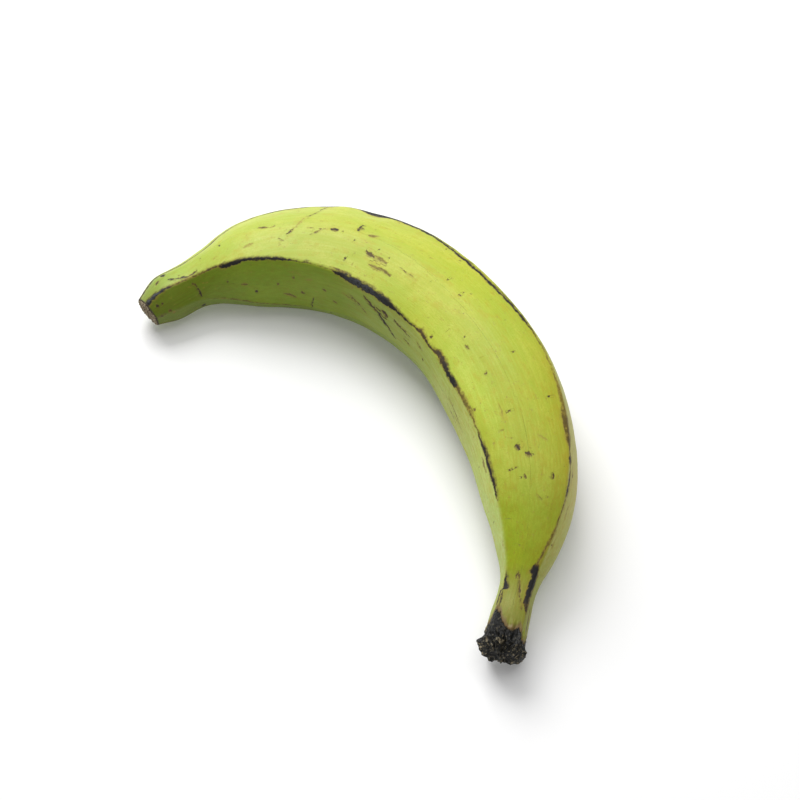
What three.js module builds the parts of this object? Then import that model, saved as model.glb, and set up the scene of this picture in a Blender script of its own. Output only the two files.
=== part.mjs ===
// A green plantain, whole, lying on its side on a level surface.
// Millimetres, +Z up. The cut stem is towards +X and the blossom tip towards -X, with the back of
// the curve towards +Y. The origin is the middle of the underside of the fruit's bounding box.
// The fruit is turned on a lathe as a straight rod, and then bent along its spine.

import * as THREE from 'three';
import { mergeVertices } from 'three/addons/utils/BufferGeometryUtils.js';

// ---- Driving dimensions ----

const LENGTH = 295; // along the middle of the fruit, from the stem's cut to the blossom tip
const SET_OFF = 121; // degrees, the direction in which the stem sets off, seen from above
const LEAN = 5.2; // degrees, how far the back of the curve is lifted off the surface
const PITCH = 0.6; // degrees, how far the stem end is lifted above the blossom end

// Tables along the fruit. Each row is [share of LENGTH from the stem's cut, value].

// Degrees that the fruit has turned by then.
const BEND = [
  [0, 0], [0.1, 0], [0.22, 16], [0.36, 34], [0.5, 52.5],
  [0.64, 73], [0.78, 105], [0.9, 129], [1, 144.5],
];
// Millimetres that the spine stands out of the plane of the curve.
const SWAY = [[0, -3], [0.2, 0], [0.55, 1.5], [0.85, 0], [1, -2]];
// Millimetres from the spine to the skin: stem, neck, belly, shoulder and blossom tip.
const THICKNESS = [
  [0, 8.4], [0.04, 8], [0.09, 7.6], [0.14, 12.5], [0.2, 18.4], [0.28, 22.2], [0.38, 24.6],
  [0.5, 23.2], [0.62, 23.2], [0.74, 22.2], [0.84, 18.4], [0.92, 10.5], [0.97, 9.5], [1, 6.4],
];

// The long ridges between the faces: how proud each stands, as a share of THICKNESS, and where it
// runs, in degrees from the top of the curve's plane, positive towards the back of the curve.
const RIDGES = [
  {
    side: 'inner top',
    proud: 1.07,
    angle: [
      [0, -38], [0.15, -43], [0.3, -47], [0.45, -53], [0.6, -49], [0.75, -41], [0.9, -23], [1, -6],
    ],
  },
  {
    side: 'outer top',
    proud: 1.07,
    angle: [
      [0, 45], [0.15, 43], [0.3, 48], [0.4, 48], [0.5, 55], [0.65, 72], [0.8, 75], [0.92, 72], [1, 60],
    ],
  },
  { side: 'outer bottom', proud: 1.05, angle: [[0, 125], [0.3, 130], [0.6, 135], [1, 130]] },
  { side: 'inner bottom', proud: 1.06, angle: [[0, 225], [0.3, 232], [0.6, 235], [1, 235]] },
  {
    side: 'inner side',
    proud: 1.0,
    angle: [
      [0, 278], [0.3, 270], [0.6, 262], [0.76, 250], [0.84, 255], [0.9, 268], [0.94, 283], [1, 294],
    ],
  },
];
const ROUNDNESS = 0.52; // 1 is a round section, 0 is one with flat faces
const RIDGE_SHARPNESS = 14; // how tightly a flat face turns into the next at a ridge

// The torn crown on the stem's cut, and the scar on the blossom tip.
const CROWN_REACH = 14; // how far down the stem the torn edge goes
const CROWN_LUMP = 0.9; // how far its lumps stand out
const CROWN_DOME = 3.2; // how far the torn pith stands out of the cut
const SCAR_DOME = 1; // how far the scar's rim stands past the tip

const SKIN_COLOUR = 0xa9bd4f;
const AROUND = 40; // sides of the mesh
const STEP = 5; // length of the mesh's faces along the fruit

// ---- Curves ----

const degrees = THREE.MathUtils.degToRad;

// The value of a table at a place, on a smooth line through its rows.
function valueAt(table, place) {
  const last = table.length - 1;
  const slope = (row) => (table[row + 1][1] - table[row][1]) / (table[row + 1][0] - table[row][0]);
  const tangent = (row) => (slope(Math.max(row - 1, 0)) + slope(Math.min(row, last - 1))) / 2;
  let row = 0;
  while (row < last - 1 && place >= table[row + 1][0]) row += 1;
  const span = table[row + 1][0] - table[row][0];
  const u = (place - table[row][0]) / span;
  const rise = u * u * (3 - 2 * u);
  const leave = u * (1 - u) * (1 - u) * span * tangent(row);
  const arrive = u * u * (u - 1) * span * tangent(row + 1);
  return table[row][1] * (1 - rise) + table[row + 1][1] * rise + leave + arrive;
}

function headingAt(place) {
  return degrees(SET_OFF + valueAt(BEND, place));
}

// The spine, walked in short paces from the stem's cut.
const PACES = 590;
const spine = [new THREE.Vector3(0, 0, valueAt(SWAY, 0))];
for (let pace = 0; pace < PACES; pace += 1) {
  const heading = headingAt((pace + 0.5) / PACES);
  const here = spine[pace];
  const x = here.x + Math.cos(heading) * LENGTH / PACES;
  const y = here.y + Math.sin(heading) * LENGTH / PACES;
  spine.push(new THREE.Vector3(x, y, valueAt(SWAY, (pace + 1) / PACES)));
}

function spineAt(place) {
  const pace = Math.min(Math.floor(place * PACES), PACES - 1);
  return spine[pace].clone().lerp(spine[pace + 1], place * PACES - pace);
}

// The directions along the fruit, out to the back of the curve, and up out of its plane.
function directionsAt(place) {
  const pace = Math.min(Math.floor(place * PACES), PACES - 1);
  const forward = spine[pace + 1].clone().sub(spine[pace]).normalize();
  const outward = forward.clone().cross(new THREE.Vector3(0, 0, 1)).normalize();
  const upward = outward.clone().cross(forward);
  return { forward, outward, upward };
}

// ---- Cross-section ----

// The radius of the section in one direction, as a share of THICKNESS there: a rounded polygon
// with a corner at each ridge, blended with a circle.
function sectionAt(place, angle) {
  const corners = RIDGES.map((ridge) => {
    const turn = degrees(valueAt(ridge.angle, place));
    return new THREE.Vector2(Math.sin(turn), Math.cos(turn)).multiplyScalar(ridge.proud);
  });
  let total = 0;
  corners.forEach((corner, index) => {
    const edge = corners[(index + 1) % corners.length].clone().sub(corner);
    const normal = new THREE.Vector2(-edge.y, edge.x).normalize();
    const facing = Math.sin(angle) * normal.x + Math.cos(angle) * normal.y;
    total += Math.max(facing / normal.dot(corner), 0) ** RIDGE_SHARPNESS;
  });
  return ROUNDNESS + (1 - ROUNDNESS) * total ** (-1 / RIDGE_SHARPNESS);
}

// Lumps of torn fibre round the stem's cut, dying away down the stem.
function tearAt(distance, angle) {
  const fade = Math.max(1 - Math.max(distance, 0) / CROWN_REACH, 0) ** 2;
  const lumps = Math.cos(5 * angle + 1) + 0.6 * Math.cos(8 * angle - distance / 3);
  return CROWN_LUMP * fade * lumps;
}

// ---- The fruit ----

// The rod's profile, as [share of the radius, distance from the stem's cut].
const profile = [
  [0, -CROWN_DOME], [0.4, -CROWN_DOME * 0.8], [0.75, -CROWN_DOME * 0.9], [0.95, -CROWN_DOME * 0.4],
];
for (let distance = 0; distance <= LENGTH; distance += STEP) {
  profile.push([1, distance]);
}
profile.push([0.85, LENGTH + SCAR_DOME]);
profile.push([0.5, LENGTH + SCAR_DOME * 0.8]);
profile.push([0, LENGTH + SCAR_DOME * 0.5]);

const outline = profile.map(([share, distance]) => new THREE.Vector2(share, distance));
const rod = new THREE.LatheGeometry(outline, AROUND);
rod.deleteAttribute('normal');
rod.deleteAttribute('uv');
const fruit = mergeVertices(rod);

const points = fruit.attributes.position;
for (let index = 0; index < points.count; index += 1) {
  const share = Math.hypot(points.getX(index), points.getZ(index));
  const angle = Math.atan2(points.getX(index), points.getZ(index));
  const distance = points.getY(index);
  const place = THREE.MathUtils.clamp(distance / LENGTH, 0, 1);
  const radius = valueAt(THICKNESS, place) * sectionAt(place, angle) + tearAt(distance, angle);
  const { forward, outward, upward } = directionsAt(place);
  const point = spineAt(place)
    .addScaledVector(outward, share * radius * Math.sin(angle))
    .addScaledVector(upward, share * radius * Math.cos(angle))
    .addScaledVector(forward, distance - place * LENGTH);
  points.setXYZ(index, point.x, point.y, point.z);
}

// It rests on the two stoutest parts of its flat underside, with its centre of mass between them.
fruit.rotateX(degrees(LEAN));
fruit.rotateY(degrees(-PITCH));
fruit.computeBoundingBox();
const { min, max } = fruit.boundingBox;
fruit.translate(-(min.x + max.x) / 2, -(min.y + max.y) / 2, -min.z);
fruit.computeVertexNormals();

const skin = new THREE.MeshStandardMaterial({ color: SKIN_COLOUR, roughness: 0.5, metalness: 0 });
const plantain = new THREE.Mesh(fruit, skin);
plantain.name = 'plantain';

const object = new THREE.Group();
object.add(plantain);

export default object;
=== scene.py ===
"""A green plantain, whole, lying on its side on a pale floor.

The skin starts as a flat sheet of faces. It is rolled into a straight rod, shaped by the fruit's
tables, bent along the spine and set down. Metres in Blender, millimetres in the tables.
"""

import math
import random

import bmesh
import bpy
from mathutils import Matrix, Vector, noise


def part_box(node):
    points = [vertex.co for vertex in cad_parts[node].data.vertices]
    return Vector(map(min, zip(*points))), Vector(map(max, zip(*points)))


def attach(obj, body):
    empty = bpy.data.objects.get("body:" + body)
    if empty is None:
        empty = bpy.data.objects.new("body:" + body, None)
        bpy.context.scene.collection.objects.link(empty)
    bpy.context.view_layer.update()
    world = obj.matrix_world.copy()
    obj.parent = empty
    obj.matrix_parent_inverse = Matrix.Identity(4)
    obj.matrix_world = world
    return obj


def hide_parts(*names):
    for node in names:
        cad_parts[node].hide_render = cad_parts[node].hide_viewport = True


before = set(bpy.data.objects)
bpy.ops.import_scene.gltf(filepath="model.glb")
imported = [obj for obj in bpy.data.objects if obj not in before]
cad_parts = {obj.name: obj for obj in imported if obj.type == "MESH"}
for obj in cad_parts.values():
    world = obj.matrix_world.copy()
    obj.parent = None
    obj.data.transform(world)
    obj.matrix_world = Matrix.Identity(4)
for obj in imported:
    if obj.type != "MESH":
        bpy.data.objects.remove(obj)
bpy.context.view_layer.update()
MM = 0.001

# ---- Shape of the fruit, in millimetres and degrees ----

LENGTH = 295  # along the middle of the fruit, from the stem's cut to the blossom tip
SET_OFF = 121  # the direction in which the stem sets off, seen from above
LEAN = 5.2  # how far the back of the curve is lifted off the floor
PITCH = 0.6  # how far the stem end is lifted above the blossom end

# Tables along the fruit. Each row is (share of LENGTH from the stem's cut, value).

# Degrees that the fruit has turned by then.
BEND = [
    (0, 0), (0.1, 0), (0.22, 16), (0.36, 34), (0.5, 52.5),
    (0.64, 73), (0.78, 105), (0.9, 129), (1, 144.5),
]
# How far the spine stands out of the plane of the curve.
SWAY = [(0, -3), (0.2, 0), (0.55, 1.5), (0.85, 0), (1, -2)]
# From the spine to the skin: stem, neck, belly, shoulder and blossom tip.
THICKNESS = [
    (0, 8.4), (0.04, 8), (0.09, 7.6), (0.14, 12.5), (0.2, 18.4), (0.28, 22.2), (0.38, 24.6),
    (0.5, 23.2), (0.62, 23.2), (0.74, 22.2), (0.84, 18.4), (0.92, 10.5), (0.97, 9.5), (1, 6.4),
]

# The long ridges: how proud each stands, as a share of THICKNESS, and where it runs, in degrees
# from the top of the curve's plane, positive towards the back of the curve.
RIDGES = {
    "inner top": (1.07, [(0, -38), (0.15, -43), (0.3, -47), (0.45, -53), (0.6, -49), (0.75, -41),
                         (0.9, -23), (1, -6)]),
    "outer top": (1.07, [(0, 45), (0.15, 43), (0.3, 48), (0.4, 48), (0.5, 55), (0.65, 72),
                         (0.8, 75), (0.92, 72), (1, 60)]),
    "outer bottom": (1.05, [(0, 125), (0.3, 130), (0.6, 135), (1, 130)]),
    "inner bottom": (1.06, [(0, 225), (0.3, 232), (0.6, 235), (1, 235)]),
    "inner side": (1.0, [(0, 278), (0.3, 270), (0.6, 262), (0.76, 250), (0.84, 255), (0.9, 268),
                         (0.94, 283), (1, 294)]),
}
INNER_TOP, OUTER_TOP, _, _, INNER_SIDE = range(len(RIDGES))  # their places in that order
ROUNDNESS = 0.52  # 1 is a round section, 0 is one with flat faces
RIDGE_SHARPNESS = 14  # how tightly a flat face turns into the next at a ridge
RIDGE_BEAD = 0.28  # how far the thickened crest of a ridge stands out
BEAD_WIDTH = 1.0
BEAD_START, BEAD_FULL = 0.02, 0.16  # the bead fades in along the neck
UNEVENNESS = 0.22  # how far the skin's slow swells and hollows reach
SLOW_SWELL, QUICK_SWELL = 0.06, 0.17  # swells to the millimetre

CROWN_REACH = 14  # how far down the stem the torn edge goes
CROWN_LUMP = 0.5  # how far its slow lumps stand out
CROWN_DOME = 3.2  # how far the torn pith stands out of the cut
CROWN_CRUMBLE = 2.0  # how far the torn pith's crumbs stand out
NODULE_REACH = 4.5  # how far down the stem its round nodules go
NODULE_RISE = 1.6
STRAND_REACH = 15  # how far down the stem its dried strands show
STRAND_DEPTH = 0.75
GROOVES, CRUMBS, NODULES = 0.8, 1.1, 0.42  # to the millimetre

# Knobs and nicks of the crown, and dents of the skin: millimetres from the stem's cut, degrees, how
# wide, and how far out.
KNOBS = [
    (0.9, -84, 2.1, 1.7), (3.8, -80, 2.4, -0.6), (0, -50, 2.2, -1.0), (0.5, -20, 2.6, 0.7),
    (0, 5, 2, -1.2), (0.6, 30, 2.4, 0.7), (0, 50, 1.8, -0.6), (1, 72, 2.6, 0.6),
    (3.6, 80, 2.2, -0.6), (0, 100, 2, -0.9), (1, 125, 3, 1.2), (0, 150, 2, -1),
    (0, 175, 3, 1.4), (1, -140, 3, 1.2), (0, -112, 2, -1),
    (202, 66, 6, -0.7), (212, 70, 6, 0.5), (286, 48, 7, 0.5), (262, 58, 9, -0.5),
]

SCAR_DOME = 1  # how far the scar's rim stands past the tip
SCAR_HOLLOW = 1.0  # how far its middle is sunk
SCAR_CRUMBLE = 0.5
PITH_CRUMBS, SCAR_CRUMBS = 3.1, 4.3  # to the radius
CRUMB_SHAPE = (0.8, 2.1, 3)  # how the crumbs' sizes are graded

# The sheet of faces: how many go round, and how far apart its rings are.
AROUND = 180
FINE_STEP = 0.4
STEP = 0.72
FINE_AT_STEM = 26
FINE_AT_TIP = 10


def smooth(low, high, value):
    """0 below low, 1 above high, with a smooth rise between."""
    u = min(max((value - low) / (high - low), 0), 1)
    return u * u * (3 - 2 * u)


def value_at(table, place):
    """The value of a table at a place, on a smooth line through its rows."""
    last = len(table) - 1

    def slope(row):
        return (table[row + 1][1] - table[row][1]) / (table[row + 1][0] - table[row][0])

    def tangent(row):
        return (slope(max(row - 1, 0)) + slope(min(row, last - 1))) / 2

    row = 0
    while row < last - 1 and place >= table[row + 1][0]:
        row += 1
    span = table[row + 1][0] - table[row][0]
    u = (place - table[row][0]) / span
    rise = u * u * (3 - 2 * u)
    leave = u * (1 - u) * (1 - u) * span * tangent(row)
    arrive = u * u * (u - 1) * span * tangent(row + 1)
    return table[row][1] * (1 - rise) + table[row + 1][1] * rise + leave + arrive


def between(table, place):
    """The numbers of a table at a place, on straight lines between its rows."""
    rows = [row for row in table if row[0] <= place] or [table[0]]
    low = rows[-1]
    high = table[min(len(rows), len(table) - 1)]
    span = high[0] - low[0]
    u = min(max((place - low[0]) / span, 0), 1) if span else 0
    return [a + (b - a) * u for a, b in zip(low[1:], high[1:])]


# ---- Spine and section ----

PACES = 590


def walk_spine():
    """The spine's points, in short paces from the stem's cut."""
    points = [Vector((0, 0, value_at(SWAY, 0)))]
    for pace in range(PACES):
        heading = math.radians(SET_OFF + value_at(BEND, (pace + 0.5) / PACES))
        here = points[-1]
        x = here.x + math.cos(heading) * LENGTH / PACES
        y = here.y + math.sin(heading) * LENGTH / PACES
        points.append(Vector((x, y, value_at(SWAY, (pace + 1) / PACES))))
    return points


SPINE = walk_spine()


def spine_at(place):
    pace = min(int(place * PACES), PACES - 1)
    return SPINE[pace].lerp(SPINE[pace + 1], place * PACES - pace)


def directions_at(place):
    """The directions along the fruit, out to the back of the curve, and up out of its plane."""
    pace = min(int(place * PACES), PACES - 1)
    forward = (SPINE[pace + 1] - SPINE[pace]).normalized()
    outward = forward.cross(Vector((0, 0, 1))).normalized()
    return forward, outward, outward.cross(forward)


def ridge_angles(place):
    return [math.radians(value_at(angle, place)) for _, angle in RIDGES.values()]


def section_edges(place):
    """The flat faces of the section as (normal, distance), in shares of THICKNESS."""
    corners = [
        Vector((math.sin(turn), math.cos(turn))) * proud
        for turn, (proud, _) in zip(ridge_angles(place), RIDGES.values())
    ]
    edges = []
    for index, corner in enumerate(corners):
        edge = corners[(index + 1) % len(corners)] - corner
        normal = Vector((-edge.y, edge.x)).normalized()
        edges.append((normal, normal.dot(corner)))
    return edges


def section_at(edges, angle):
    """The section's radius: a rounded polygon with a corner at each ridge, blended with a circle."""
    total = 0
    for normal, distance in edges:
        facing = math.sin(angle) * normal.x + math.cos(angle) * normal.y
        total += max(facing / distance, 0) ** RIDGE_SHARPNESS
    return ROUNDNESS + (1 - ROUNDNESS) * total ** (-1 / RIDGE_SHARPNESS)


def turn_between(angle, other):
    """How far angle is past the other one, from -pi to pi."""
    return (angle - other + math.pi) % (2 * math.pi) - math.pi


# ---- Relief ----


def bead_at(place, offset):
    """The thickened crest of a ridge, by how far past the ridge it is."""
    return RIDGE_BEAD * math.exp(-(offset / BEAD_WIDTH) ** 2) * smooth(BEAD_START, BEAD_FULL, place)


def tear_at(distance, angle):
    """Lumps of torn fibre round the stem's cut, dying away down the stem."""
    fade = max(1 - max(distance, 0) / CROWN_REACH, 0) ** 2
    lumps = math.cos(5 * angle + 1) + 0.6 * math.cos(8 * angle - distance / 3)
    return CROWN_LUMP * fade * lumps


def strands_at(distance, angle, radius):
    """Dried strands that run down the stem from the cut, with crumbs on them."""
    fade = 1 - smooth(0, STRAND_REACH, distance)
    if fade == 0:
        return 0
    around = Vector((math.sin(angle), math.cos(angle), 0)) * radius
    groove = noise.noise(around * GROOVES + Vector((0, 0, distance * 0.12)))
    crumb = noise.noise(around * CRUMBS + Vector((7, 3, distance * 0.8)))
    return STRAND_DEPTH * fade * (1.3 * groove + 1.5 * fade * crumb)


def knobs_at(distance, angle, thickness):
    """The knobs, nicks and dents of KNOBS."""
    height = 0
    for middle, turn, reach, rise in KNOBS:
        along = distance - middle
        if abs(along) < 2 * reach:
            around = turn_between(angle, math.radians(turn)) * thickness
            height += rise * math.exp(-(along ** 2 + around ** 2) / (0.4 * reach ** 2))
    return height


def nodules_at(distance, angle, radius):
    """Round nodules of torn fibre, crowded by the stem's cut."""
    fade = 1 - smooth(0, NODULE_REACH, distance)
    if fade == 0:
        return 0
    around = Vector((math.sin(angle), math.cos(angle), 0)) * radius
    nearest = noise.voronoi((around + Vector((0, 0, distance))) * NODULES)[0][0]
    return NODULE_RISE * fade * (0.45 - nearest)


def swell_at(rod):
    """Slow swells and hollows of the whole skin."""
    return UNEVENNESS * (noise.noise(rod * SLOW_SWELL) + 0.5 * noise.noise(rod * QUICK_SWELL))


def crumble_at(share, distance, angle):
    """How far the torn pith and the scar's crumbs stand out along the fruit."""
    flat = Vector((math.sin(angle), math.cos(angle), 0)) * share
    if distance < LENGTH / 2:
        crumb = noise.fractal(flat * PITH_CRUMBS + Vector((0, 0, 4)), *CRUMB_SHAPE)
        return -CROWN_CRUMBLE * crumb * (1 - share ** 6)
    crumb = noise.fractal(flat * SCAR_CRUMBS + Vector((9, 0, 0)), *CRUMB_SHAPE)
    return SCAR_CRUMBLE * crumb - SCAR_HOLLOW * (1 - smooth(0.3, 0.85, share))


# ---- The sheet's rows, as (share of the radius, distance from the stem's cut) ----


def sheet_rows():
    cut = [(0, -CROWN_DOME), (0.4, -CROWN_DOME * 0.8), (0.75, -CROWN_DOME * 0.9),
           (0.95, -CROWN_DOME * 0.4), (1, 0)]
    tip = [(0, LENGTH + SCAR_DOME * 0.5), (0.5, LENGTH + SCAR_DOME * 0.8),
           (0.85, LENGTH + SCAR_DOME), (1, LENGTH)]
    shares = [0, 0.08, 0.16, 0.25, 0.34, 0.43, 0.52, 0.61, 0.7, 0.78, 0.85, 0.91, 0.96, 0.99]
    rows = [(share, between(cut, share)[0]) for share in shares]
    distance = 0
    while distance < LENGTH:
        rows.append((1, distance))
        fine = distance < FINE_AT_STEM or distance > LENGTH - FINE_AT_TIP
        distance += FINE_STEP if fine else STEP
    rows.append((1, LENGTH))
    rows += [(share, between(tip, share)[0]) for share in reversed(shares)]
    return rows


# ---- Colours of the skin, with painted shade in them: one table for each face, by the ridge it starts from ----

# The inner faces darken towards the blossom tip. This is partly their own deeper green and partly
# painted shade, where they face away from the light.
FACE_TINTS_AND_SHADE = {
    "inner top": [
        (0, 0.2, 0.2, 0.03), (0.06, 0.25, 0.26, 0.025), (0.085, 0.27, 0.29, 0.02),
        (0.11, 0.33, 0.39, 0.01), (0.17, 0.35, 0.42, 0.02), (0.2, 0.38, 0.43, 0.03),
        (0.26, 0.43, 0.46, 0.035), (0.32, 0.46, 0.5, 0.04), (0.42, 0.43, 0.49, 0.04),
        (0.52, 0.49, 0.53, 0.045), (0.77, 0.46, 0.51, 0.07), (0.87, 0.46, 0.52, 0.07),
        (0.93, 0.38, 0.46, 0.06), (0.97, 0.28, 0.37, 0.05), (1, 0.24, 0.3, 0.05),
    ],
    "outer top": [
        (0, 0.27, 0.28, 0.05), (0.08, 0.34, 0.36, 0.06), (0.14, 0.44, 0.44, 0.08),
        (0.22, 0.5, 0.46, 0.09), (0.35, 0.44, 0.43, 0.07), (0.6, 0.4, 0.45, 0.07),
        (0.9, 0.34, 0.42, 0.05), (1, 0.26, 0.3, 0.04),
    ],
    "outer bottom": [
        (0, 0.25, 0.28, 0.04), (0.2, 0.3, 0.37, 0.05), (0.5, 0.29, 0.38, 0.04),
        (0.8, 0.26, 0.36, 0.035), (1, 0.22, 0.27, 0.035),
    ],
    "inner bottom": [
        (0, 0.27, 0.31, 0.05), (0.2, 0.38, 0.45, 0.09), (0.45, 0.31, 0.38, 0.06),
        (0.7, 0.21, 0.28, 0.02), (0.9, 0.17, 0.23, 0.02), (1, 0.15, 0.19, 0.02),
    ],
    "inner side": [
        (0, 0.28, 0.3, 0.08), (0.08, 0.4, 0.47, 0.11), (0.13, 0.5, 0.58, 0.17),
        (0.18, 0.54, 0.64, 0.17), (0.26, 0.53, 0.61, 0.13), (0.35, 0.48, 0.53, 0.11),
        (0.46, 0.41, 0.48, 0.075), (0.55, 0.36, 0.43, 0.08), (0.68, 0.23, 0.31, 0.015),
        (0.84, 0.21, 0.3, 0.008), (0.94, 0.155, 0.21, 0.008), (1, 0.135, 0.18, 0.01),
    ],
}
TINT_BLEND = 1.1  # how far from a ridge one face's colour runs into the next

# The bright top face is palest in a band of painted highlight, a sheen painted into the colour beside
# the inner top ridge,
# and browner by the outer top one: how much so, along the fruit.
PAINTED_SHEEN = [(0, 0), (0.15, 0), (0.25, 0.5), (0.36, 1), (0.45, 0.6), (0.6, 0.35), (0.8, 0.2), (1, 0)]
PAINTED_SHEEN_TINT = (1.17, 1.22, 1.9)
PAINTED_SHEEN_MIDDLE = 6  # from the ridge
TANNED = [(0, 0.2), (0.12, 0.5), (0.25, 0.9), (0.4, 0.7), (0.55, 0.2), (1, 0)]
TANNED_TINT = (0.96, 0.84, 0.8)
BAND_WIDTH = 5

# Stains along the ridges: (place, half of the width, darkness, how far the stain's middle is past
# the ridge). Darkness 1 is charcoal, 0.6 is grey-brown, 0.35 is brown and 0.15 is tan. Above 1, the
# charcoal is ashen.
RIDGE_STAINS = {
    "inner top": [
        (0, 0, 0.8, -1), (0.045, 0, 0.8, -1), (0.056, 0.5, 0.8, -1.1), (0.07, 0.45, 0.8, -1.4),
        (0.072, 0.5, 0.8, -1.2), (0.0735, 1.1, 0.95, 0.6), (0.086, 0.7, 0.95, 0),
        (0.096, 0.25, 0.8, -0.1), (0.1, 0, 0.6, 0), (0.185, 0, 0.5, 0), (0.195, 0.4, 0.7, 0),
        (0.22, 0.75, 0.85, -0.2), (0.26, 0.8, 0.8, -0.4), (0.286, 0.55, 0.65, -0.6),
        (0.3, 0.3, 0.4, -0.3), (0.325, 0.6, 0.32, 0), (0.35, 0.8, 0.34, 0.2), (0.38, 0.7, 0.4, 0),
        (0.388, 1.1, 1, 0), (0.405, 1.0, 1, 0.1), (0.42, 0.8, 0.8, 0.5), (0.435, 1.2, 0.6, 1.0),
        (0.452, 1.0, 0.55, 1.2), (0.462, 0.4, 0.6, 0.1), (0.479, 0.45, 0.7, 0),
        (0.489, 0.8, 0.55, 0.5), (0.503, 0.9, 0.5, 0.9), (0.513, 0.25, 0.6, 0.2),
        (0.525, 0.45, 0.9, -0.4), (0.56, 0.6, 0.95, -0.2), (0.57, 1.1, 1, -0.2),
        (0.6, 1.4, 1.15, -0.4), (0.635, 1.4, 1.2, -0.5), (0.665, 1.3, 1.15, -0.5),
        (0.685, 0.8, 0.9, -0.3), (0.695, 0.2, 0.6, 0), (0.73, 0.1, 0.5, 0), (0.74, 0.4, 0.8, 0.3),
        (0.75, 0.15, 0.6, 0), (0.775, 0.3, 0.8, 0), (0.79, 0.6, 1, 0), (0.845, 0.65, 1, 0),
        (0.862, 0.9, 1, -0.5), (0.878, 1.0, 1, -0.8), (0.885, 0.35, 0.5, 0),
        (0.93, 0.35, 0.35, 0), (0.955, 0.4, 0.4, 0), (0.966, 0.5, 0.9, 0.3),
        (0.972, 1.0, 1.3, 0.3), (0.99, 1.0, 1.3, 0.2), (1, 0.9, 1.2, 0),
    ],
    "outer top": [
        (0, 0, 0.5, 0), (0.03, 0, 0.5, 0.5), (0.047, 0.25, 0.5, 0.5), (0.056, 0.8, 0.6, -0.2),
        (0.062, 1.2, 0.68, -0.5), (0.07, 0.9, 0.85, -0.6), (0.074, 1.2, 1, -0.3),
        (0.084, 1.5, 1, -0.1), (0.089, 1.4, 1, 0.1), (0.093, 1.0, 1, 0.2), (0.097, 1.2, 1, -0.2),
        (0.101, 1.7, 1, -0.7), (0.106, 1.5, 1, -1.2), (0.109, 0.8, 0.7, -1.3),
        (0.112, 0.45, 0.4, -1.1), (0.135, 0.5, 0.3, -0.8), (0.15, 0.6, 0.34, 0),
        (0.165, 0.25, 0.34, 0.3), (0.19, 0.35, 0.5, 0.6), (0.205, 0.6, 0.75, 1.2),
        (0.221, 0.5, 0.5, 1.6), (0.232, 0.3, 0.4, 1.2), (0.24, 0.85, 0.72, 1),
        (0.25, 0.4, 0.4, 0.7), (0.266, 1.1, 0.42, 0.2), (0.29, 1.5, 0.4, -0.3),
        (0.31, 0.8, 0.3, -0.5), (0.35, 0.3, 0.25, -0.6), (0.4, 0.2, 0.5, -0.5),
        (0.44, 0.5, 0.9, -1), (0.5, 0.6, 1, -1.8), (0.56, 0.6, 1, -2), (0.61, 0.5, 1, -1.2),
        (0.66, 0.8, 1, -0.6), (0.675, 1.5, 1, -0.9), (0.69, 1.5, 1, -0.8), (0.7, 0.6, 0.9, -0.4),
        (0.725, 0.3, 0.9, 0), (0.735, 0.9, 1, -0.5), (0.75, 0.3, 0.7, -0.6), (0.8, 0.5, 1, -1.6),
        (0.84, 0.3, 0.7, -3), (0.88, 0.6, 0.9, -4), (0.9, 0.4, 0.6, -4), (0.94, 0.5, 0.7, -3),
        (1, 0.5, 0.8, -1),
    ],
    "outer bottom": [
        (0, 0.2, 0.6, 0), (0.06, 0.8, 0.9, 0), (0.1, 0.3, 0.6, 0), (0.2, 0.3, 0.7, 0),
        (0.27, 0.9, 1, 0.4), (0.36, 0.7, 1, 0), (0.42, 0.2, 0.5, 0), (0.5, 0.5, 0.8, -0.3),
        (0.58, 1.1, 1, -0.3), (0.66, 0.9, 1, 0), (0.7, 0.2, 0.6, 0), (0.8, 0.6, 0.9, 0),
        (0.9, 0.5, 0.9, 0), (1, 0.5, 0.8, 0),
    ],
    "inner bottom": [
        (0, 0.2, 0.6, 0), (0.08, 0.6, 0.9, 0), (0.14, 0.2, 0.6, 0), (0.3, 0.6, 0.9, 0),
        (0.4, 0.9, 1, 0.4), (0.47, 0.2, 0.5, 0), (0.62, 0.3, 0.7, 0), (0.72, 0.8, 1, -0.3),
        (0.82, 0.5, 0.9, 0), (0.9, 0.3, 0.7, 0), (1, 0.5, 0.8, 0),
    ],
    "inner side": [
        (0, 0, 0.5, 0), (0.74, 0, 0.4, 0), (0.78, 0.25, 0.45, 0), (0.86, 0.3, 0.5, 0),
        (0.9, 0.2, 0.5, 0), (0.93, 0, 0.5, 0), (1, 0, 0.8, 0),
    ],
}

# How far the stem's black dried part reaches from the cut, by degrees round the stem.
CROWN_STAIN = [
    (-180, 8), (-130, 10), (-100, 6), (-79, 6), (-58, 8.5), (-47, 12.5), (-40, 13.2), (-26, 11.4),
    (-14, 8.6), (3, 6.2), (17, 5.8), (28, 6.8), (36, 8.6), (42, 6.4), (50, 3.6), (60, 2.2),
    (80, 3.5), (110, 8), (140, 11), (180, 8),
]

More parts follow.
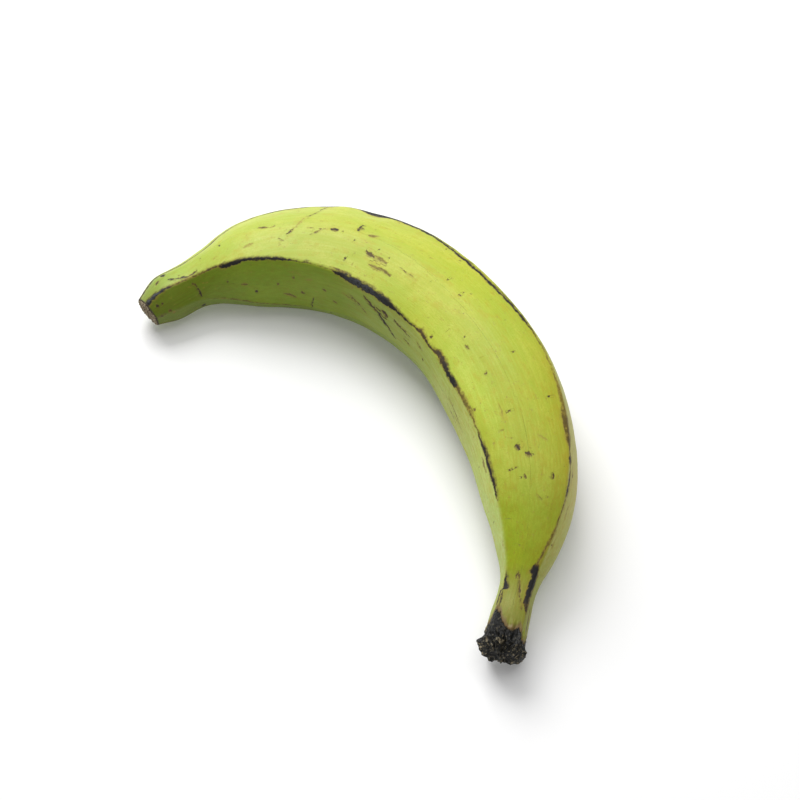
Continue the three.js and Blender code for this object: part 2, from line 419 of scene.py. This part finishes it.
# Scratches, cracks, dots and bruises: start and end as (place, degrees), half of the width, darkness.
SCRATCHES = [
    # On the bright top face, from the blossom end to the stem.
    ((0.817, 21), (0.806, 16), 0.75, 0.42),
    ((0.802, 14), (0.795, 18), 0.4, 0.4),
    ((0.779, -5), (0.766, 9), 0.5, 0.55),
    ((0.79, -8), (0.782, -14), 0.4, 0.35),
    ((0.752, 6.5), (0.74, 7), 0.3, 0.3),
    ((0.735, 7), (0.722, 7), 0.35, 0.3),
    ((0.683, 15), (0.681, 30), 0.55, 0.7),
    ((0.664, 13), (0.658, 16), 0.9, 0.3),
    ((0.842, -12), (0.828, -9), 0.6, 0.15),
    ((0.754, 27), (0.745, 51), 0.3, 0.5),
    ((0.745, 51), (0.737, 73), 0.3, 0.7),
    ((0.77, 2), (0.755, 34), 0.5, 0.12),
    ((0.745, -6), (0.725, 8), 0.3, 0.35),
    ((0.716, 7), (0.709, 9), 1.0, 0.65),
    ((0.686, 18), (0.676, 22), 0.3, 0.45),
    ((0.662, 15), (0.652, 19), 0.5, 0.15),
    ((0.681, -30), (0.678, -30), 0.5, 0.75),
    ((0.655, -12), (0.64, -15), 1.0, 0.48),
    ((0.64, -13), (0.618, -15), 0.8, 0.28),
    ((0.64, -26), (0.62, -27), 0.8, 0.3),
    ((0.622, -24), (0.6, -26), 0.8, 0.36),
    ((0.6, -11), (0.57, -12), 0.28, 0.4),
    ((0.536, 15), (0.533, 15), 0.5, 0.75),
    ((0.507, 9.5), (0.503, 9.5), 0.5, 0.45),
    ((0.447, -20), (0.443, -20), 0.35, 0.5),
    ((0.434, -24), (0.422, -22), 0.3, 0.4),
    ((0.38, -18), (0.371, -20), 0.3, 0.4),
    ((0.333, -43), (0.33, -43), 0.5, 0.45),
    ((0.311, -11), (0.309, -11), 0.5, 0.5),
    ((0.322, 35), (0.32, 35), 0.5, 0.6),
    ((0.326, -20), (0.3, -19), 0.25, 0.2),
    ((0.259, -12), (0.255, -10), 1.0, 0.58),
    ((0.247, -3), (0.245, 3), 0.75, 0.52),
    ((0.22, -6), (0.213, -5), 0.45, 0.45),
    ((0.22, 28), (0.213, 28), 0.5, 0.6),
    ((0.194, 8), (0.187, 17), 0.25, 0.4),
    ((0.272, 14), (0.262, 24), 0.4, 0.15),
    # Beside the inner top ridge.
    ((0.482, -47), (0.48, -46), 0.6, 0.6),
    ((0.26, -54), (0.235, -53), 0.5, 0.35),
    ((0.7, -42), (0.655, -45), 0.35, 0.35),
    # On the inner face.
    ((0.624, -58), (0.588, -69), 0.6, 0.55),
    ((0.59, -68), (0.563, -79), 0.75, 0.85),
    ((0.567, -78), (0.546, -86), 0.45, 0.75),
    ((0.655, -64), (0.618, -76), 0.35, 0.42),
    ((0.6, -62), (0.58, -66), 0.4, 0.5),
    ((0.582, -62), (0.57, -65), 0.9, 0.55),
    ((0.556, -62), (0.538, -65), 0.5, 0.6),
    ((0.54, -64), (0.513, -67), 0.35, 0.6),
    ((0.53, -74), (0.512, -77), 0.35, 0.5),
    ((0.625, -74), (0.61, -80), 0.3, 0.4),
    ((0.5, -63), (0.478, -66), 0.3, 0.4),
    ((0.477, -75), (0.473, -76), 0.4, 0.6),
    ((0.385, -67), (0.322, -74), 0.35, 0.4),
    ((0.384, -76), (0.34, -80), 0.3, 0.3),
    ((0.841, -81), (0.837, -81), 0.7, 0.65),
    ((0.732, -88), (0.742, -110), 0.45, 0.75),
    ((0.79, -86), (0.768, -92), 0.8, 0.36),
    ((0.8, -70), (0.796, -70), 0.5, 0.4),
    ((0.757, -82), (0.75, -84), 0.6, 0.45),
    ((0.77, -60), (0.765, -60), 0.5, 0.4),
    ((0.86, -66), (0.85, -67), 0.5, 0.35),
    ((0.71, -70), (0.703, -73), 0.5, 0.35),
    ((0.69, -84), (0.68, -86), 0.5, 0.4),
    ((0.67, -66), (0.635, -73), 0.25, 0.3),
    ((0.93, -31), (0.925, -46), 0.35, 0.6),
    ((0.925, -46), (0.925, -74), 0.5, 0.75),
    ((0.926, -108), (0.928, -114), 0.8, 0.9),
    # By the blossom tip.
    ((0.957, 11), (0.943, -3), 0.45, 0.85),
    ((0.943, -3), (0.93, -13), 0.6, 0.85),
    ((0.93, -13), (0.914, -11), 0.4, 0.6),
    ((0.957, 36), (0.959, 42), 0.95, 0.9),
    ((0.972, 22), (0.968, 28), 0.8, 0.5),
    ((0.99, -34), (0.988, -35), 0.6, 0.7),
    ((0.982, -36), (0.981, -37), 0.5, 0.55),
    ((0.979, -64), (0.977, -67), 0.6, 0.42),
    ((0.974, -73), (0.972, -76), 0.6, 0.32),
    ((0.985, -70), (0.999, -76), 0.4, 0.6),
    # By the stem.
    ((0.07, -40), (0.048, -36), 0.45, 0.85),
    ((0.072, -46), (0.05, -42), 0.4, 0.12),
    ((0.1, -5), (0.086, 4), 0.45, 0.42),
    ((0.086, 4), (0.066, 18), 0.5, 0.45),
    ((0.094, -8), (0.09, -8), 0.5, 0.5),
    ((0.066, 22), (0.05, 30), 0.4, 0.4),
    ((0.02, 66), (0.06, 66), 0.4, 0.45),
    # Along the outer face by the outer top ridge.
    ((0.24, 58), (0.21, 56), 0.5, 0.12),
    ((0.19, 60), (0.17, 60), 0.4, 0.15),
    ((0.15, 55), (0.135, 54), 0.4, 0.12),
    ((0.228, 57), (0.224, 58), 0.5, 0.5),
    # Cracks across the back and the underside.
    ((0.34, 95), (0.345, 118), 0.5, 0.9),
    ((0.46, 150), (0.44, 205), 0.45, 0.95),
    ((0.7, 100), (0.715, 128), 0.5, 0.9),
    ((0.77, 165), (0.76, 210), 0.45, 0.8),
    ((0.56, 88), (0.6, 96), 0.9, 0.5),
    ((0.25, 168), (0.3, 172), 0.8, 0.5),
]


def scattered_marks(seed, count):
    """Small scuffs, dots and scratches all round, in the same form as SCRATCHES."""
    chance = random.Random(seed)
    marks = []
    for _ in range(count):
        place = chance.uniform(0.12, 0.95)
        angle = chance.uniform(-180, 180)
        upper = -60 < angle < 70
        if upper or chance.random() < 0.62:  # a dot
            run = chance.uniform(0.001, 0.004)
            lean = 0
            half = chance.uniform(0.16, 0.38)
        else:  # a scratch, mostly lengthwise
            run = chance.uniform(0.008, 0.035)
            lean = chance.gauss(0, 5)
            half = chance.uniform(0.12, 0.26)
        darkness = chance.choice([0.15, 0.3, 0.4, 0.5, 0.7])
        marks.append(((place, angle), (place + run, angle + lean), half, darkness))
    return marks


# ---- The fruit's skin ----


def skin_sheet(rows):
    """A flat grid of faces with the map of the skin on it, one row of vertices for each of rows."""
    mesh = bmesh.new()
    for name in ("rod", "stain", "ends", "scratches", "scuffs"):
        mesh.verts.layers.float_vector.new(name)
    mesh.verts.layers.float_color.new("tint")
    layer = mesh.loops.layers.uv.new("OFBake")
    bmesh.ops.create_grid(mesh, x_segments=AROUND, y_segments=len(rows) - 1, size=0.5)
    mesh.verts.ensure_lookup_table()
    for face in mesh.faces:
        for loop in face.loops:
            loop[layer].uv = (loop.vert.co.x + 0.5, loop.vert.co.y + 0.5)
    width = AROUND + 1
    return mesh, [mesh.verts[row * width:(row + 1) * width] for row in range(len(rows))]


def column_angle(column):
    """The direction of a column of the sheet, once it is rolled. The last is where the first is."""
    return 2 * math.pi * (column % AROUND) / AROUND - math.pi


def nearest_ridge(angle, turns, radius):
    """Which ridge is nearest, and how far past it the angle is, in millimetres."""
    offsets = [turn_between(angle, turn) * radius for turn in turns]
    index = min(range(len(offsets)), key=lambda each: abs(offsets[each]))
    return index, offsets[index]


def face_tint(tints, index, offset):
    """The colour of the face, run into its neighbour's near a ridge."""
    after = tints[index]
    before = tints[index - 1]
    return before.lerp(after, smooth(-TINT_BLEND, TINT_BLEND, offset))


def banded_tint(tint, place, index, offset):
    """The bright top face's colour with its band of painted highlight and its tanned band."""
    if index == INNER_TOP and offset > 0:
        # Painted highlight: a pale band of sheen beside the inner top ridge.
        middle, strength, cast = PAINTED_SHEEN_MIDDLE, value_at(PAINTED_SHEEN, place), PAINTED_SHEEN_TINT
    elif index == OUTER_TOP and offset < 0:
        middle, strength, cast = 0, value_at(TANNED, place), TANNED_TINT
    else:
        return tint
    strength *= math.exp(-((abs(offset) - middle) / BAND_WIDTH) ** 2)
    return Vector(part * (1 + (share - 1) * strength) for part, share in zip(tint, cast))


def matte_at(index, offset):
    """1 on the inner face, between the inner side ridge and the inner top one, and 0 elsewhere."""
    if index == INNER_SIDE:
        return smooth(-1, 2, offset)
    if index == INNER_TOP:
        return smooth(-1, 2, -offset)
    return 0


def shape_skin(mesh, rings, rows):
    """Rolls and bends the sheet, and stores on its vertices what the skin's finish reads."""
    rod_layer = mesh.verts.layers.float_vector["rod"]
    stain_layer = mesh.verts.layers.float_vector["stain"]
    tint_layer = mesh.verts.layers.float_color["tint"]
    ends_layer = mesh.verts.layers.float_vector["ends"]
    stain_tables = list(RIDGE_STAINS.values())
    for (share, distance), ring in zip(rows, rings):
        place = min(max(distance / LENGTH, 0), 1)
        turns = ridge_angles(place)
        edges = section_edges(place)
        thickness = value_at(THICKNESS, place)
        spine = spine_at(place)
        forward, outward, upward = directions_at(place)
        stains = [between(table, place) for table in stain_tables]
        tints = [Vector(between(table, place)) for table in FACE_TINTS_AND_SHADE.values()]
        for column, vertex in enumerate(ring):
            angle = column_angle(column)
            index, offset = nearest_ridge(angle, turns, thickness)
            radius = thickness * section_at(edges, angle) + tear_at(distance, angle)
            radius += bead_at(place, offset)
            direction = Vector((math.sin(angle), math.cos(angle), 0))
            rod = direction * radius * share + Vector((0, 0, distance))
            radius += swell_at(rod) + strands_at(distance, angle, radius)
            radius += nodules_at(distance, angle, thickness)
            radius += knobs_at(distance, angle, thickness)
            along = distance - place * LENGTH
            if share < 1:
                along += crumble_at(share, distance, angle)
            vertex.co = spine + forward * along
            vertex.co += outward * (share * radius * math.sin(angle))
            vertex.co += upward * (share * radius * math.cos(angle))
            crown = between(CROWN_STAIN, math.degrees(angle))[0] - distance
            scar = distance - LENGTH + (1 - share) * thickness
            vertex[rod_layer] = rod
            half, darkness, past = stains[index]
            vertex[stain_layer] = Vector((offset - past, half, darkness))
            # The face's colour, with painted shade on the inner faces and a painted highlight on the
            # top face.
            tint = banded_tint(face_tint(tints, index, offset), place, index, offset)
            vertex[tint_layer] = (*tint, 1)
            vertex[ends_layer] = Vector((crown, scar, matte_at(index, offset)))


MARK_REACH = 2.2  # how far from its middle line a mark is stored
NO_MARK = Vector((9, 0, 0))  # far from a mark of no width


def scratch_field(mesh, rings, rows, name, marks):
    """Stores how far each vertex is from the nearest mark's middle line, how wide the mark is
    there and how dark, for the skin's finish to draw."""
    layer = mesh.verts.layers.float_vector[name]
    for ring in rings:
        for vertex in ring:
            vertex[layer] = NO_MARK
    for (place_a, angle_a), (place_b, angle_b), half, darkness in marks:
        radius = value_at(THICKNESS, (place_a + place_b) / 2)
        start = Vector((math.radians(angle_a) * radius, place_a * LENGTH))
        run = Vector((math.radians(angle_b) * radius, place_b * LENGTH)) - start
        length = max(run.length, 0.01)
        forward = run / length
        middle = math.radians((angle_a + angle_b) / 2)
        low = min(place_a, place_b) * LENGTH - MARK_REACH - half
        high = max(place_a, place_b) * LENGTH + MARK_REACH + half
        for (share, distance), ring in zip(rows, rings):
            if share < 1 or not low < distance < high:
                continue
            for column, vertex in enumerate(ring):
                angle = column_angle(column)
                around = (middle + turn_between(angle, middle)) * radius
                away = Vector((around, distance)) - start
                along = away.dot(forward)
                across = away.cross(forward)
                past = max(-along, along - length, 0)
                if abs(across) > half + MARK_REACH or past > half:
                    continue
                taper = math.sqrt(max(1 - (past / half) ** 2, 0))
                from_end = min(along + half, length + half - along)
                slim = min(1, 0.35 + 1.3 * from_end / (length + half))
                fade = min(max(half + MARK_REACH - abs(across), 0), 1)
                width = half * taper * slim * fade
                if width - abs(across) > vertex[layer].y - abs(vertex[layer].x):
                    vertex[layer] = Vector((across, width, darkness))


def set_down(mesh):
    """Leans the fruit as it lies, and brings it to where the plain one is."""
    lean = Matrix.Rotation(math.radians(LEAN), 3, "X")
    pitch = Matrix.Rotation(math.radians(-PITCH), 3, "Y")
    bmesh.ops.transform(mesh, matrix=(pitch @ lean).to_4x4(), verts=mesh.verts)
    bmesh.ops.scale(mesh, vec=(MM, MM, MM), verts=mesh.verts)
    low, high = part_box("plantain")
    corners = [Vector(fold(vertex.co[axis] for vertex in mesh.verts) for axis in range(3))
               for fold in (min, max)]
    shift = (low + high - corners[0] - corners[1]) / 2
    shift.z = low.z - corners[0].z
    bmesh.ops.translate(mesh, vec=shift, verts=mesh.verts)


def finished_object(name, mesh, material):
    data = bpy.data.meshes.new(name)
    mesh.to_mesh(data)
    mesh.free()
    data.shade_smooth()
    data.materials.append(material)
    made = bpy.data.objects.new(name, data)
    bpy.context.scene.collection.objects.link(made)
    return made


def make_fruit(material):
    rows = sheet_rows()
    mesh, rings = skin_sheet(rows)
    shape_skin(mesh, rings, rows)
    scratch_field(mesh, rings, rows, "scratches", SCRATCHES)
    scratch_field(mesh, rings, rows, "scuffs", scattered_marks(seed=11, count=170))
    bmesh.ops.remove_doubles(mesh, verts=mesh.verts, dist=1e-4)
    bmesh.ops.recalc_face_normals(mesh, faces=mesh.faces)
    set_down(mesh)
    return finished_object("plantain_peel", mesh, material)


# ---- Finishes ----


class Finish:
    """A material, and short ways to add nodes to it. All but add return the new node's output."""

    def __init__(self, name):
        self.material = bpy.data.materials.new(name)
        self.material.use_nodes = True
        self.tree = self.material.node_tree
        self.tree.nodes.clear()

    def add(self, kind, inputs, **settings):
        node = self.tree.nodes.new("ShaderNode" + kind)
        for setting, value in settings.items():
            setattr(node, setting, value)
        for socket, value in inputs.items():
            if isinstance(value, bpy.types.NodeSocket):
                self.tree.links.new(value, node.inputs[socket])
            else:
                node.inputs[socket].default_value = value
        return node

    def attribute(self, name, output="Vector"):
        return self.add("Attribute", {}, attribute_name=name).outputs[output]

    def split(self, vector):
        return self.add("SeparateXYZ", {"Vector": vector}).outputs

    def math(self, operation, a, b=0.0):
        inputs = {0: a} if operation == "ABSOLUTE" else {0: a, 1: b}
        return self.add("Math", inputs, operation=operation).outputs[0]

    def swing(self, value, reach):
        """A noise's swing about its middle, made as large as reach."""
        return self.math("MULTIPLY", self.math("SUBTRACT", value, 0.5), reach)

    def stretch(self, vector, scale):
        return self.add("VectorMath", {0: vector, 1: scale}, operation="MULTIPLY").outputs[0]

    def noise(self, vector, scale, detail, roughness):
        inputs = {"Vector": vector, "Scale": scale, "Detail": detail, "Roughness": roughness}
        return self.add("TexNoise", inputs).outputs["Fac"]

    def drawn_out(self, vector, stretch, detail, roughness):
        """Noise with its own fineness along each axis."""
        return self.noise(self.stretch(vector, stretch), 1.0, detail, roughness)

    def smooth(self, value, low, high, start=0.0, end=1.0):
        inputs = {"Value": value, "From Min": low, "From Max": high, "To Min": start, "To Max": end}
        return self.add("MapRange", inputs, interpolation_type="SMOOTHSTEP").outputs["Result"]

    def blend(self, factor, a, b):
        return self.add("Mix", {0: factor, 2: a, 3: b}, data_type="FLOAT").outputs[0]

    def mix(self, factor, a, b):
        inputs = {0: factor, 6: a, 7: b}
        return self.add("Mix", inputs, data_type="RGBA").outputs[2]

    def ramp(self, factor, stops):
        node = self.add("ValToRGB", {"Fac": factor})
        points = node.color_ramp.elements
        while len(points) < len(stops):
            points.new(0.5)
        for point, (position, colour) in zip(points, stops):
            point.position = position
            point.color = (*colour, 1)
        return node.outputs["Color"]


TAN = (0.33, 0.245, 0.04)
BROWN = (0.11, 0.066, 0.012)
UMBER = (0.045, 0.032, 0.016)
CHARCOAL = (0.013, 0.012, 0.011)
ASH = (0.06, 0.064, 0.072)
SEAM = (0.15, 0.09, 0.03)
STAIN_COLOURS = [(0.1, TAN), (0.36, BROWN), (0.62, UMBER), (0.9, CHARCOAL)]
BARK_COLOURS = [
    (0.5, (0.0012, 0.0012, 0.0008)), (0.59, (0.007, 0.0065, 0.004)),
    (0.65, (0.045, 0.04, 0.024)), (0.75, (0.34, 0.28, 0.18)),
]
CORK_COLOURS = [(0.38, (0.1, 0.074, 0.042)), (0.48, (0.27, 0.21, 0.13)), (0.6, (0.42, 0.35, 0.24))]


def marked(finish, rod, field, colour, halo):
    """Draws one field of marks on colour. Returns the new colour and where the marks are."""
    across, width, darkness = finish.split(field)
    there = finish.smooth(width, 0.0, 0.25)
    # The middle line wanders, the mark is broken along its length, and its edge is patchy.
    wander = finish.drawn_out(rod, (0.6, 0.6, 0.25), 2.0, 0.5)
    broken = finish.drawn_out(rod, (0.5, 0.5, 0.35), 3.0, 0.6)
    patchy = finish.drawn_out(rod, (1.1, 1.1, 0.7), 4.0, 0.7)
    off = finish.math("ABSOLUTE", finish.math("ADD", across, finish.swing(wander, 1.5)))
    grown = finish.math("MULTIPLY", width, finish.smooth(broken, 0.3, 0.6, 0.7, 1.15))
    ragged = finish.math("ADD", grown, finish.swing(patchy, 1.6))
    depth = finish.math("SUBTRACT", ragged, off)
    spread = finish.math("ADD", depth, finish.math("MULTIPLY", width, 0.7))
    tinted = finish.math("MULTIPLY", finish.smooth(spread, -0.3, 0.9, 0.0, halo), there)
    # The bright side of a stain is scuffed and soft, and the other side is crisp.
    soft = finish.smooth(across, 0.0, 0.9)
    crisp_edge = finish.smooth(depth, -0.3, 0.3)
    soft_edge = finish.smooth(depth, -1.1, 0.6)
    edge = finish.math("MULTIPLY", finish.blend(soft, crisp_edge, soft_edge), there)
    mask = finish.math("MULTIPLY", edge, finish.smooth(darkness, 0.0, 0.6, 0.5, 1.0))
    core = finish.smooth(depth, -0.1, 0.6, 0.6, 1.0)
    shade = finish.math("ADD", finish.math("MULTIPLY", darkness, core), finish.swing(patchy, 0.9))
    ink = finish.ramp(shade, STAIN_COLOURS)
    ashen = finish.math("MULTIPLY", finish.smooth(depth, 0.1, 0.7), finish.smooth(patchy, 0.4, 0.56))
    ashen = finish.math("MULTIPLY", ashen, finish.smooth(darkness, 1.0, 1.3))
    ink = finish.mix(ashen, ink, (*ASH, 1))
    colour = finish.mix(tinted, colour, (*TAN, 1))
    return finish.mix(mask, colour, ink), mask


def peel_colour(finish, rod, matte, streak, grain):
    """The skin's colour: its face's, with painted shade and a painted highlight in it, and faint
    clouds, lengthwise streaks and tan flecks.
    """
    tint = finish.attribute("tint", "Color")
    cloud = finish.drawn_out(rod, (0.12, 0.12, 0.04), 3.0, 0.55)
    mottle = finish.drawn_out(rod, (0.3, 0.3, 0.16), 4.0, 0.65)
    deep = finish.stretch(tint, (0.82, 0.9, 0.6))
    light = finish.stretch(tint, (1.08, 1.06, 1.3))
    olive = finish.stretch(tint, (0.93, 0.79, 0.55))
    green = finish.stretch(tint, (0.8, 0.94, 0.8))
    colour = finish.mix(finish.smooth(cloud, 0.38, 0.62, 0.3, 0.8), deep, light)
    patch = finish.drawn_out(rod, (0.09, 0.09, 0.05), 3.0, 0.6)
    colour = finish.mix(finish.smooth(patch, 0.5, 0.62, 0.0, 0.5), colour, green)
    colour = finish.mix(finish.smooth(mottle, 0.52, 0.66, 0.0, 0.7), colour, olive)
    colour = finish.mix(finish.smooth(mottle, 0.5, 0.38, 0.0, 0.4), colour, deep)

    # Streaks are strongest by the stem and on the inner face's matte skin.
    distance = finish.split(rod)[2]
    fibrous = finish.math("MAXIMUM", finish.smooth(distance, 30.0, 170.0, 1.0, 0.35), matte)
    streaked = finish.math("MULTIPLY", finish.smooth(streak, 0.45, 0.66), fibrous)
    colour = finish.mix(finish.math("MULTIPLY", streaked, 0.8), colour, olive)
    pale = finish.math("MULTIPLY", finish.smooth(streak, 0.48, 0.34), fibrous)
    colour = finish.mix(finish.math("MULTIPLY", pale, 0.7), colour, light)
    colour = finish.mix(finish.smooth(grain, 0.38, 0.54, 0.5, 0.0), colour, deep)

    # Tan and brown flecks, in loose crowds.
    fleck = finish.drawn_out(rod, (0.75, 0.75, 0.45), 4.0, 0.75)
    crowd = finish.smooth(mottle, 0.42, 0.62, 0.35, 1.0)
    flecks = finish.math("MULTIPLY", finish.smooth(fleck, 0.59, 0.68, 0.0, 0.75), crowd)
    colour = finish.mix(flecks, colour, (*TAN, 1))
    speck = finish.smooth(finish.noise(rod, 1.1, 2.0, 0.7), 0.71, 0.76, 0.0, 0.8)
    return finish.mix(speck, colour, (*BROWN, 1))


def dried_stem(finish, rod, crown, strand, crumbs, colour):
    """Draws the stem's black strands with ashen crumbs, and a tan seam where the green begins.
    Returns the new colour and where the stem is dried."""
    edge = finish.math("ADD", crown, finish.swing(strand, 4.0))
    dried = finish.smooth(edge, -0.4, 0.4)
    pale = finish.smooth(finish.split(rod)[2], 0.0, 4.0, 0.075, 0.0)
    fibre = finish.math("ADD", crumbs, finish.swing(strand, 0.6))
    bark = finish.ramp(finish.math("ADD", fibre, pale), BARK_COLOURS)
    seam = finish.smooth(edge, -3.2, -0.4, 0.0, 0.95)
    colour = finish.mix(seam, colour, (*SEAM, 1))
    return finish.mix(dried, colour, bark), dried


def blossom_scar(finish, scar, grain, colour):
    """Draws the scar's tan cork, darker in the middle, with a dark lip round it. Returns the new
    colour and where the scar is."""
    worn = finish.smooth(finish.math("ADD", scar, grain), 0.2, 0.9)
    cork = finish.ramp(grain, CORK_COLOURS)
    core = finish.smooth(scar, 4.2, 5.6, 0.0, 0.6)
    colour = finish.mix(worn, colour, finish.mix(core, cork, (*UMBER, 1)))
    from_lip = finish.math("ABSOLUTE", finish.math("SUBTRACT", scar, 0.2))
    lip = finish.smooth(from_lip, 0.2, 0.75, 0.9, 0.0)
    return finish.mix(lip, colour, (*UMBER, 1)), worn


def peel_finish():
    finish = Finish("plantain_peel")
    rod = finish.attribute("rod")
    crown, scar, matte = finish.split(finish.attribute("ends"))
    streak = finish.drawn_out(rod, (1.3, 1.3, 0.04), 4.0, 0.65)
    grain = finish.noise(rod, 1.5, 3.0, 0.6)

    colour = peel_colour(finish, rod, matte, streak, grain)
    colour, scuffed = marked(finish, rod, finish.attribute("scuffs"), colour, 0.25)
    colour, scratched = marked(finish, rod, finish.attribute("scratches"), colour, 0.35)
    colour, stained = marked(finish, rod, finish.attribute("stain"), colour, 0.55)

    strand = finish.drawn_out(rod, (1.3, 1.3, 0.3), 4.0, 0.7)
    crumbs = finish.noise(rod, 0.8, 4.0, 0.65)
    colour, dried = dried_stem(finish, rod, crown, strand, crumbs, colour)
    colour, worn = blossom_scar(finish, scar, grain, colour)

    marks = finish.math("MAXIMUM", stained, finish.math("MAXIMUM", scratched, scuffed))
    rough = finish.math("ADD", finish.smooth(streak, 0.3, 0.7, 0.42, 0.52),
                        finish.math("MULTIPLY", marks, 0.12))
    rough = finish.math("MAXIMUM", rough, finish.math("MULTIPLY", worn, 0.8))
    rough = finish.blend(dried, rough, finish.smooth(strand, 0.4, 0.6, 0.25, 0.5))

    # Lengthwise fibres and grain, sunken marks, and rough strands and crumbs at both ends.
    fibres = finish.drawn_out(rod, (2.2, 2.2, 0.12), 3.0, 0.6)
    height = finish.math("ADD", finish.math("MULTIPLY", fibres, 0.35),
                         finish.math("MULTIPLY", grain, 0.4))
    height = finish.math("SUBTRACT", height, finish.math("MULTIPLY", marks, 0.35))
    dry = finish.math("MAXIMUM", dried, worn)
    loose = finish.math("MULTIPLY", finish.math("ADD", strand, crumbs), dry)
    height = finish.math("ADD", height, finish.math("MULTIPLY", loose, 3.5))
    bump = finish.add("Bump", {"Strength": 0.7, "Distance": 0.25 * MM, "Height": height})

    shader = finish.add("BsdfPrincipled", {
        "Base Color": colour, "Roughness": rough, "Normal": bump.outputs[0],
        "Specular IOR Level": 0.28,
    })
    finish.add("OutputMaterial", {"Surface": shader.outputs[0]})
    return finish.material


def floor_finish():
    finish = Finish("pale_floor")
    shader = finish.add("BsdfPrincipled", {
        "Base Color": (0.87, 0.87, 0.87, 1), "Roughness": 0.9,
        "Emission Color": (1, 1, 1, 1), "Emission Strength": 0.1,
    })
    finish.add("OutputMaterial", {"Surface": shader.outputs[0]})
    return finish.material


# ---- Studio ----

FLOOR_SIZE = 6.0
AIM = Vector((4, -5.5, 20)) * MM  # what the camera and the lights face, inside the curve
CAMERA_AZIMUTH = 46.1
CAMERA_ELEVATION = 55.8
CAMERA_DISTANCE = 748 * MM
CAMERA_LENS = 85


def away_from(point, azimuth, elevation, distance):
    """A place at a distance from a point. Azimuth 0 is in front of it, at -Y."""
    turn, rise = math.radians(azimuth), math.radians(elevation)
    level = math.cos(rise)
    direction = Vector((math.sin(turn) * level, -math.cos(turn) * level, math.sin(rise)))
    return point + direction * distance


def aimed(made, place, target):
    made.location = place
    made.rotation_euler = (target - place).to_track_quat("-Z", "Y").to_euler()
    bpy.context.scene.collection.objects.link(made)
    return made


def make_camera():
    data = bpy.data.cameras.new("camera")
    data.lens = CAMERA_LENS
    data.clip_start = 0.01
    place = away_from(AIM, CAMERA_AZIMUTH, CAMERA_ELEVATION, CAMERA_DISTANCE)
    bpy.context.scene.camera = aimed(bpy.data.objects.new("camera", data), place, AIM)


def make_softbox(name, azimuth, elevation, distance, size, power):
    data = bpy.data.lights.new(name, "AREA")
    data.size = size
    data.energy = power
    place = away_from(AIM, azimuth, elevation, distance)
    aimed(bpy.data.objects.new(name, data), place, AIM)


def make_world(strength):
    world = bpy.data.worlds.new("studio")
    world.use_nodes = True
    background = world.node_tree.nodes["Background"]
    background.inputs["Color"].default_value = (1, 1, 1, 1)
    background.inputs["Strength"].default_value = strength
    bpy.context.scene.world = world


def make_floor():
    mesh = bmesh.new()
    bmesh.ops.create_grid(mesh, x_segments=1, y_segments=1, size=FLOOR_SIZE / 2)
    floor = finished_object("floor", mesh, floor_finish())


make_camera()
make_softbox("key", azimuth=-112, elevation=44, distance=1.3, size=0.9, power=17.5)
make_softbox("top", azimuth=180, elevation=80, distance=1.5, size=1.2, power=7.4)
make_world(0.3)
make_floor()
bpy.context.scene.view_settings.view_transform = "Standard"

fruit = make_fruit(peel_finish())
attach(fruit, "root")
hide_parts("plantain")
